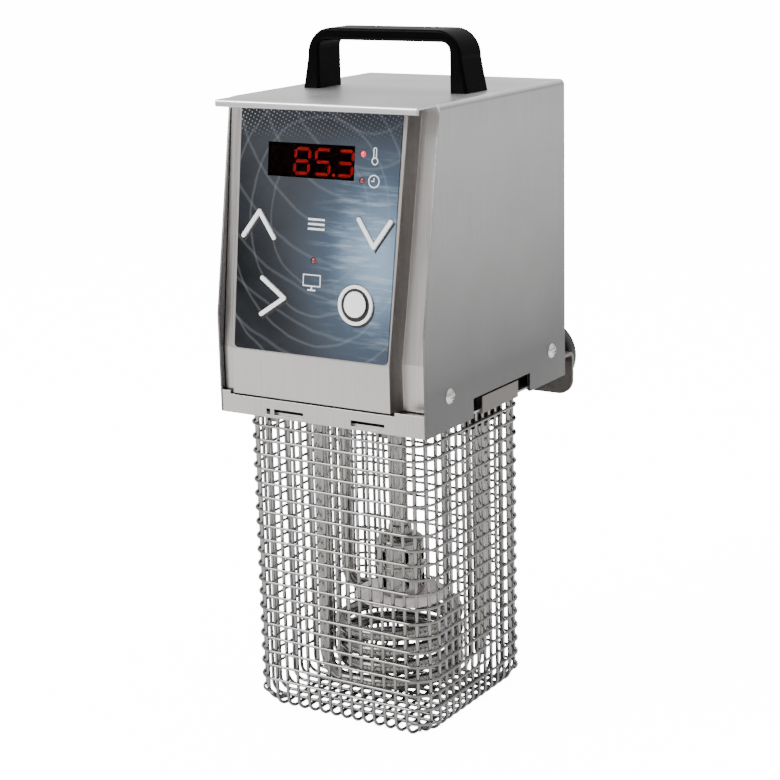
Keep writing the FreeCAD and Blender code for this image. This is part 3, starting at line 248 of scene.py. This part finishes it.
def label_film():
    """Printed film: near-black slate at the edges, a blue-white glow at the right, ripples and fine dots."""
    look = Look("label_film", SLATE, 0.30, Specular_IOR_Level=0.08, Coat_Weight=0.03, Coat_Roughness=0.15)
    spot = in_panel(look)
    x, v, _ = look.axes(spot)
    glow = look.distance(look.moved(spot, scale=(1.0, GLOW_SQUASH, 0.0)), (*GLOW, 0.0))
    wide = look.moved(spot, scale=(0.02, 0.035, 0.0))
    haze = look.noise(wide, 1.0, detail=5.0, roughness=0.55, distortion=0.6)
    toward = look.math("ADD", x, look.math("MULTIPLY", v, 0.35))
    base = look.mix(look.span(toward, -42.0, 16.0, 0, 1, True), SLATE, BLUE_GREY)
    halo = look.mix(look.span(glow, 10.0, 62.0, 1, 0, True), base, HALO_BLUE)
    bright = look.mix(look.span(glow, 0.0, 34.0, 0.85, 0, True), halo, GLOW_WHITE)
    # Level streaks of light run through the glow.
    streak = look.noise(look.moved(spot, scale=(0.035, 0.26, 0.0)), 1.0, detail=4.0, roughness=0.6)
    near = look.span(glow, 6.0, 48.0, 1, 0, True)
    lift = look.math("MULTIPLY", look.span(streak, 0.5, 0.72, 0, 0.55), near)
    inked = look.mix(lift, bright, STREAK_WHITE)
    inked = look.mix(look.span(haze, 0.42, 0.75, 0, 0.22), inked, HAZE_GREY)
    for centre, squash, pitch, offset, strength in RIPPLES:
        flat = look.moved(spot, scale=(1.0, squash, 0.0))
        reach = look.distance(flat, (centre[0], centre[1] * squash, 0.0))
        drift = look.noise(look.moved(spot, scale=(0.03, 0.03, 0.0)), 1.0)
        wander = look.span(drift, 0.2, 0.8, -1.6, 1.6)
        shifted = look.math("ADD", reach, look.math("ADD", wander, offset))
        phase = look.math("FRACT", look.math("DIVIDE", shifted, pitch))
        off_middle = look.math("ABSOLUTE", look.math("SUBTRACT", phase, 0.5))
        line = look.span(off_middle, 0.0, RIPPLE_EDGE, strength, 0, True)
        fade = look.span(reach, *RIPPLE_CLEAR, 0, 1, True)
        inked = look.mix(look.math("MULTIPLY", line, fade), inked, RIPPLE_GREY)
    grid = look.moved(spot, rotation=(0, 0, DOT_TURN), scale=(1 / DOT_PITCH, 1 / DOT_PITCH, 0.0))
    cell = look.node("ShaderNodeVectorMath", {0: grid}, operation="FRACTION").outputs[0]
    level = look.node("ShaderNodeVectorMath", {0: cell, 1: (1, 1, 0)}, operation="MULTIPLY").outputs[0]
    dot = look.span(look.distance(level, (0.5, 0.5, 0.0)), *DOT_EDGE, 1, 0)
    across = look.span(x, -50.0, 30.0, 1.0, 0.35)
    shown = look.math("MULTIPLY", look.span(v, *DOT_BAND, 0, 0.7), across)
    look.put("Base Color", look.mix(look.math("MULTIPLY", dot, shown), inked, DOT_WHITE))
    fine = look.noise(look.place, 2400.0, detail=2.0)
    look.put("Roughness", look.span(fine, 0.3, 0.7, 0.26, 0.36))
    look.bump(fine, 0.00003, 0.4, 0.0003)
    return look.material


def round_key_white():
    """White key face with a dark crescent in its groove."""
    look = Look("key_white", (0.86, 0.87, 0.88), 0.3, Coat_Weight=0.2)
    spot = look.moved(in_panel(look), scale=(1, 1, 0))
    outer = look.distance(spot, (*ROUND_KEY, 0.0))
    inner = look.distance(spot, (ROUND_KEY[0] - CRESCENT_SHIFT, ROUND_KEY[1] + CRESCENT_SHIFT, 0.0))
    groove = look.math("MULTIPLY", look.math("LESS_THAN", outer, GROOVE_OUTER),
                       look.math("GREATER_THAN", inner, GROOVE_INNER))
    fine = look.noise(look.place, 2000.0, detail=2.0)
    white = look.mix(look.span(fine, 0.3, 0.7, 0, 1), (0.92, 0.925, 0.93), (0.97, 0.97, 0.975))
    look.put("Base Color", look.mix(groove, white, (0.01, 0.01, 0.012)))
    look.bump(fine, 0.00002, 0.4, 0.0002)
    return look.material


def lamp_red():
    """Red lamps: the top one is lit, the lower two only glimmer."""
    look = Look("lamp_red", (0.30, 0.015, 0.02), 0.15, Coat_Weight=0.6)
    height = look.axes(look.place)[2]
    lit = look.span(height, *(row(0, 0, z).z for z in LAMP_SPLIT), 0, 1)
    fine = look.noise(look.place, 1500.0, detail=2.0)
    dull = look.mix(look.span(fine, 0.3, 0.7, 0, 1), (0.10, 0.008, 0.012), (0.16, 0.012, 0.02))
    look.put("Base Color", look.mix(lit, dull, (0.75, 0.03, 0.06)))
    look.put("Emission Color", (0.85, 0.02, 0.07, 1))
    look.put("Emission Strength", look.math("ADD", look.math("MULTIPLY", lit, 0.8), 0.03))
    return look.material


def lit_segments():
    """Deep red segments that glow a little."""
    look = Look("display_red", (0.35, 0.01, 0.01), 0.4)
    fine = look.noise(look.place, 900.0, detail=2.0)
    red = look.mix(look.span(fine, 0.3, 0.7, 0, 1), (0.20, 0.006, 0.008), (0.28, 0.010, 0.012))
    look.put("Base Color", red)
    look.put("Emission Color", (0.40, 0.008, 0.010, 1))
    look.put("Emission Strength", 0.5)
    return look.material


def display_lens():
    """Smoky red window that the digits are seen through."""
    smoke = (0.62, 0.36, 0.36)
    look = Look("display_lens", smoke, 0.0, Transmission_Weight=1.0, IOR=1.05, Specular_IOR_Level=0.1)
    tint = look.noise(look.place, 60.0, detail=2.0)
    look.put("Base Color", look.mix(look.span(tint, 0.3, 0.7, 0, 1), smoke, (0.66, 0.40, 0.40)))
    return look.material


LAYER = 0.0004                      # metres; half of a lamination's or a wire's pitch


def laminated():
    """Varnished lamination stack."""
    look = Look("core_iron", (0.16, 0.16, 0.17), 0.5, metallic=0.7)
    stack = look.math("PINGPONG", look.axes(look.place)[1], LAYER)
    tone = look.mix(look.span(stack, 0, LAYER, 0, 1), (0.07, 0.07, 0.075), (0.22, 0.22, 0.23))
    look.put("Base Color", tone)
    look.bump(stack, 0.0002, 0.6)
    return look.material


def wound():
    """Enamelled copper winding."""
    look = Look("winding_copper", (0.45, 0.16, 0.06), 0.3, metallic=0.9)
    turns = look.math("PINGPONG", look.axes(look.place)[2], LAYER)
    tone = look.mix(look.span(turns, 0, LAYER, 0, 1), (0.22, 0.07, 0.03), (0.60, 0.24, 0.10))
    look.put("Base Color", tone)
    look.bump(turns, 0.0003, 0.8)
    return look.material


def circuit_board():
    """Lacquered board with copper tracks under the lacquer."""
    look = Look("board_green", (0.03, 0.16, 0.07), 0.35, Coat_Weight=0.4)
    upright = look.moved(look.place, rotation=(math.pi / 2, 0, 0))
    inputs = {"Vector": upright, "Scale": 120.0, "Mortar Size": 0.03}
    tracks = look.node("ShaderNodeTexBrick", inputs).outputs["Fac"]
    look.put("Base Color", look.mix(tracks, (0.02, 0.12, 0.05), (0.07, 0.26, 0.10)))
    look.bump(tracks, 0.00003, 0.5)
    return look.material


# How fine the brushed grain is, per metre, across its lines and along them.
FINE = 1500.0
LONG = 16.0
# Painted shade on the cover: its sides are toned down below the top plate, and more towards the foot, for
# light falling on the top and off down the sides.
COVER_PAINTED_SHADE = ((row(0, 0, 20).z, row(0, 0, 150).z, 0.25), (row(0, 0, 164.5).z, row(0, 0, 166.8).z, 0.56))
LOOKS = {
    "sheet_steel": brushed("sheet_steel", (0.86, 0.855, 0.85), 0.34, (LONG, FINE, LONG), painted_shades=COVER_PAINTED_SHADE),
    "panel_steel": brushed("panel_steel", (0.44, 0.42, 0.405), 0.32, (FINE, LONG, LONG)),
    # bracket_steel's dark brown tone is painted shade: it stands in for the shade under the bracket.
    "bracket_steel": brushed("bracket_steel", (0.155, 0.142, 0.135), 0.30, (LONG, FINE, FINE), 0.0003),
    "bright_steel": wire_steel("bright_steel", (0.27, 0.264, 0.258), 0.10),
    "tube_steel": heater_steel("tube_steel", (0.30, 0.294, 0.287), 0.10),
    "screw_steel": wire_steel("screw_steel", (0.74, 0.73, 0.715), 0.18),
    "handle_black": moulded("handle_black", (0.0012, 0.0012, 0.0013), 0.30, 0.00004,
                            Specular_IOR_Level=0.025),
    "knob_black": moulded("knob_black", (0.02, 0.02, 0.021), 0.42, Specular_IOR_Level=0.35),
    "pad_rubber": moulded("pad_rubber", (0.025, 0.025, 0.026), 0.7, 0.0001),
    "label_film": label_film(),
    "display_lens": display_lens(),
    "display_red": lit_segments(),
    "display_body": moulded("display_body", (0.002, 0.002, 0.002), 0.7, Specular_IOR_Level=0.1),
    "lamp_red": lamp_red(),
    "key_white": round_key_white(),
    "disc_white": moulded("disc_white", (0.88, 0.80, 0.79), 0.4),
    "motor_paint": moulded("motor_paint", (0.05, 0.05, 0.055), 0.4, Metallic=0.2),
    "coupling_alloy": brushed("coupling_alloy", (0.66, 0.66, 0.67), 0.3, (60.0, 60.0, 1800.0), 0.0002),
    "fan_plastic": moulded("fan_plastic", (0.02, 0.02, 0.02), 0.5),
    "bush_bronze": wire_steel("bush_bronze", (0.55, 0.38, 0.18), 0.3),
    "board_green": circuit_board(),
    "component_plastic": moulded("component_plastic", (0.45, 0.42, 0.36), 0.5),
    "core_iron": laminated(),
    "winding_copper": wound(),
    "gland_grey": moulded("gland_grey", (0.05, 0.05, 0.053), 0.45),
}

SMOOTH_ANGLE = math.radians(30)


def dress_frame():
    """Gives every CAD node its material, and shades its curved faces smoothly."""
    for entry in frame["record"]["subparts"]:
        node = frame["nodes"][entry["node"]]
        node.data.materials.clear()
        node.data.materials.append(LOOKS[entry["material_slot"]])
        for face in node.data.polygons:
            face.use_smooth = True
            face.material_index = 0
        node.data.set_sharp_from_angle(angle=SMOOTH_ANGLE)


# ---- pieces printed or fixed on the panel ------------------------------------------------------
def piece(name, mesh, material, body="housing"):
    """A finished piece on a body."""
    obj = bpy.data.objects.new(name, mesh)
    bpy.context.scene.collection.objects.link(obj)
    obj.data.materials.clear()
    obj.data.materials.append(material)
    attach(obj, body)
    return obj


def strokes(name, lines, radius, flat, height):
    """Mesh of round-ended ink strokes on the panel; each line is its points and whether it closes."""
    curve = bpy.data.curves.new(name, "CURVE")
    curve.dimensions = "3D"
    curve.bevel_depth = radius
    curve.bevel_resolution = 3
    curve.use_fill_caps = True
    for points, closed in lines:
        spline = curve.splines.new("POLY")
        spline.points.add(len(points) - 1)
        for target, (x, v) in zip(spline.points, points):
            target.co = (x, v, 0, 1)
        spline.use_cyclic_u = closed
    holder = bpy.data.objects.new(name, curve)
    bpy.context.scene.collection.objects.link(holder)
    mesh = bpy.data.meshes.new_from_object(holder.evaluated_get(bpy.context.evaluated_depsgraph_get()))
    bpy.data.objects.remove(holder)
    bpy.data.curves.remove(curve)
    mesh.transform(PANEL @ Matrix.Translation((0, 0, height)) @ Matrix.Diagonal((1, 1, flat, 1)))
    for face in mesh.polygons:
        face.use_smooth = True
    return mesh


def circle(x, v, radius, count=40):
    """Points round a circle."""
    turns = [2 * math.pi * k / count for k in range(count)]
    return [(x + radius * math.cos(turn), v + radius * math.sin(turn)) for turn in turns]


def ink(name, color):
    """Printing ink with a fine unevenness."""
    look = Look(name, color, 0.4)
    fine = look.noise(look.place, 1800.0, detail=2.0)
    thin = tuple(c * 0.92 for c in color)
    look.put("Base Color", look.mix(look.span(fine, 0.3, 0.7, 0, 1), color, thin))
    return look.material


# Each icon: its strokes' radius, then its lines, each with its points and whether it closes.
ICONS = {
    "icon_menu": (0.55, [([(-10.5, v), (-0.1, v)], False) for v in (67.4, 69.9, 72.4)]),
    "icon_screen": (0.42, [([(-12.2, 37.6), (-1.6, 37.6), (-1.6, 43.4), (-12.2, 43.4)], True),
                           ([(-9.4, 35.4), (-4.4, 35.4)], False),
                           ([(-6.9, 35.4), (-6.9, 37.4)], False)]),
    "icon_thermometer": (0.30, [([(28.2, 105.6), (28.2, 110.4), (28.6, 111.0),
                                  (29.4, 111.0), (29.8, 110.4), (29.8, 105.6)], False),
                                (circle(29.0, 104.2, 1.7), True)]),
    "icon_clock": (0.30, [(circle(28.9, 94.0, 3.1), True),
                          ([(28.9, 95.8), (28.9, 94.0), (27.3, 94.0)], False)]),
}
INK_FLAT = 0.12                     # an icon's strokes are pressed to this share of their round height


def print_icons():
    """White printed marks: a list, a screen, a thermometer and a clock."""
    white = ink("ink_white", (0.86, 0.87, 0.87))
    for name, (radius, lines) in ICONS.items():
        piece(name, strokes(name, lines, radius, INK_FLAT, FILM_FACE), white)


def prism(loop, heights):
    """Upright prism on a loop of points, in panel millimetres."""
    made = bmesh.new()
    made.faces.new([made.verts.new((x, v, heights[0])) for x, v in loop])
    lifted = bmesh.ops.extrude_face_region(made, geom=made.faces[:])
    for vert in (g for g in lifted["geom"] if isinstance(g, bmesh.types.BMVert)):
        vert.co.z = heights[1]
    bmesh.ops.recalc_face_normals(made, faces=made.faces[:])
    return made


def outline_mesh(points, radius, heights):
    """Upright prism round a stroke, with mitred corners and square ends."""
    left, right = [], []
    for k, (x, v) in enumerate(points):
        before = Vector(points[max(k - 1, 0)])
        after = Vector(points[min(k + 1, len(points) - 1)])
        here = Vector((x, v))
        first = (here - before).normalized() if k else (after - here).normalized()
        last = (after - here).normalized() if k < len(points) - 1 else first
        across = Vector((-(first + last).y, (first + last).x)).normalized()
        reach = radius / max(0.3, across.dot(Vector((-first.y, first.x))))
        end = first * radius * (-1 if k == 0 else 1) if k in (0, len(points) - 1) else Vector((0, 0))
        left.append(here + across * reach + end)
        right.append(here - across * reach + end)
    return prism(right + left[::-1], heights)


def to_mesh(name, made):
    """A bmesh turned into a mesh."""
    mesh = bpy.data.meshes.new(name)
    made.to_mesh(mesh)
    made.free()
    return mesh


def disc_mesh(centre, radius, heights, count=64):
    """Upright disc."""
    return prism(circle(*centre, radius, count), heights)


def subtract(name, base, tool):
    """The base mesh without the tool mesh."""
    holders = [bpy.data.objects.new(name + "_base", base), bpy.data.objects.new(name + "_tool", tool)]
    for holder in holders:
        bpy.context.scene.collection.objects.link(holder)
    boolean = holders[0].modifiers.new("cut", "BOOLEAN")
    boolean.operation = "DIFFERENCE"
    boolean.solver = "EXACT"
    boolean.object = holders[1]
    graph = bpy.context.evaluated_depsgraph_get()
    mesh = bpy.data.meshes.new_from_object(holders[0].evaluated_get(graph))
    for holder in holders:
        bpy.data.objects.remove(holder)
    return mesh


SHADOW_DROP = Vector((1.0, -1.1))
RING_DROP = 0.9                     # the round key's shadow drops by this share of it
SHADOW_HEIGHTS = (FILM_FACE, FILM_FACE + 0.04)
CUT_HEIGHTS = (-1, 3)
SHADOW_HALF, KEY_HALF = 1.2, 1.55   # half widths: the shadow's stroke, and the key's with its gap
RING_SHADOW, RING_KEY = 10.7, 10.9  # radii: the round shadow, and the round key with its gap


def print_shadows():
    """Black printed drop shadows beside the keys."""
    black = ink("ink_black", (0.006, 0.006, 0.008))
    shadows = {}
    for name, points in CHEVRONS.items():
        dropped = [tuple(Vector(p) + SHADOW_DROP) for p in points]
        shadows[name] = (outline_mesh(dropped, SHADOW_HALF, SHADOW_HEIGHTS),
                         outline_mesh(points, KEY_HALF, CUT_HEIGHTS))
    dropped = tuple(Vector(ROUND_KEY) + SHADOW_DROP * RING_DROP)
    shadows["key_round"] = (disc_mesh(dropped, RING_SHADOW, SHADOW_HEIGHTS),
                            disc_mesh(ROUND_KEY, RING_KEY, CUT_HEIGHTS))
    for name, (base, tool) in shadows.items():
        mesh = subtract("shadow_" + name, to_mesh(name, base), to_mesh(name, tool))
        mesh.transform(PANEL)
        piece("shadow_" + name, mesh, black)


# ---- the studio --------------------------------------------------------------------------------
WORLD_STRENGTH = 1.15
WORLD_TOP = (1.0, 1.0, 1.0)
WORLD_LOW = (0.50, 0.50, 0.51)
WORLD_TOP_FROM = 0.7                # the sky is at its lightest above this share of its height
FLOOR_WHITE = (0.93, 0.93, 0.93)
FLOOR_REACH = 12.0
SEEN_GLOW = 14.0                    # what the floor and the sky add where they are seen directly


def studio():
    """White floor and soft light that falls off towards the horizon.

    Both glow white where they are seen directly, and this glow doesn't light the object.
    """
    world = bpy.data.worlds.new("studio")
    bpy.context.scene.world = world
    world.use_nodes = True
    tree = world.node_tree
    height = tree.nodes.new("ShaderNodeSeparateXYZ")
    tree.links.new(tree.nodes.new("ShaderNodeTexCoord").outputs["Generated"], height.inputs[0])
    ramp = tree.nodes.new("ShaderNodeValToRGB")
    ramp.color_ramp.elements[0].color = (*WORLD_LOW, 1)
    ramp.color_ramp.elements[1].color = (*WORLD_TOP, 1)
    ramp.color_ramp.elements[1].position = WORLD_TOP_FROM
    tree.links.new(height.outputs[2], ramp.inputs[0])
    tree.links.new(ramp.outputs[0], tree.nodes["Background"].inputs["Color"])
    seen = tree.nodes.new("ShaderNodeMath")
    seen.operation = "MULTIPLY_ADD"
    tree.links.new(tree.nodes.new("ShaderNodeLightPath").outputs["Is Camera Ray"], seen.inputs[0])
    seen.inputs[1].default_value = SEEN_GLOW
    seen.inputs[2].default_value = WORLD_STRENGTH
    tree.links.new(seen.outputs[0], tree.nodes["Background"].inputs["Strength"])
    look = Look("floor_white", FLOOR_WHITE, 0.85)
    grain = look.noise(look.place, 40.0)
    paler = tuple(c * 1.02 for c in FLOOR_WHITE)
    look.put("Base Color", look.mix(look.span(grain, 0.3, 0.7, 0, 1), FLOOR_WHITE, paler))
    direct = look.node("ShaderNodeLightPath").outputs["Is Camera Ray"]
    look.put("Emission Color", (1, 1, 1, 1))
    look.put("Emission Strength", look.math("MULTIPLY", direct, SEEN_GLOW))
    corners = [(x * FLOOR_REACH, y * FLOOR_REACH, 0) for x, y in ((-1, -1), (1, -1), (1, 1), (-1, 1))]
    mesh = bpy.data.meshes.new("floor")
    mesh.from_pydata(corners, [], [(0, 1, 2, 3)])
    floor = bpy.data.objects.new("floor", mesh)
    floor.data.materials.append(look.material)
    bpy.context.scene.collection.objects.link(floor)


# Each soft light: its place and its width in metres, and its power in watts.
LIGHTS = {
    "key_light": ((-1.3, -1.6, 1.7), 1.2, 60),
    "top_light": ((0.1, 0.3, 2.0), 1.6, 22),
}
LIGHT_AIM = (0, 0, 0.2)


def area_lights():
    """Square soft lights, aimed at the object."""
    for name, (place, width, power) in LIGHTS.items():
        light = bpy.data.lights.new(name, "AREA")
        light.shape = "SQUARE"
        light.size = width
        light.energy = power
        obj = bpy.data.objects.new(name, light)
        obj.location = place
        obj.rotation_euler = (Vector(LIGHT_AIM) - Vector(place)).to_track_quat("-Z", "Y").to_euler()
        bpy.context.scene.collection.objects.link(obj)


CAMERA_AZIMUTH, CAMERA_ELEVATION, CAMERA_ROLL = (math.radians(a) for a in (32.27, 14.38, -1.42))
CAMERA_PLACE = (567.1, -830.21, 273.9)      # head coordinates
CAMERA_LENS, CAMERA_SENSOR = 91.158, 36.0   # millimetres
CAMERA_NEAR = 0.05                          # metres


def camera():
    """The camera, from its bearing round the object, its elevation and its roll."""
    back = Vector((math.sin(CAMERA_AZIMUTH) * math.cos(CAMERA_ELEVATION),
                   -math.cos(CAMERA_AZIMUTH) * math.cos(CAMERA_ELEVATION), math.sin(CAMERA_ELEVATION)))
    right = Vector((0, 0, 1)).cross(back).normalized()
    up = back.cross(right)
    rolled = right * math.cos(CAMERA_ROLL) + up * math.sin(CAMERA_ROLL)
    upward = up * math.cos(CAMERA_ROLL) - right * math.sin(CAMERA_ROLL)
    data = bpy.data.cameras.new("camera")
    data.lens = CAMERA_LENS
    data.sensor_width = CAMERA_SENSOR
    data.clip_start = CAMERA_NEAR
    obj = bpy.data.objects.new("camera", data)
    turned = Matrix((rolled, upward, back)).transposed().to_4x4()
    obj.matrix_world = Matrix.Translation(row(*CAMERA_PLACE)) @ turned
    bpy.context.scene.collection.objects.link(obj)
    bpy.context.scene.camera = obj


dress_frame()
print_icons()
print_shadows()
studio()
area_lights()
camera()
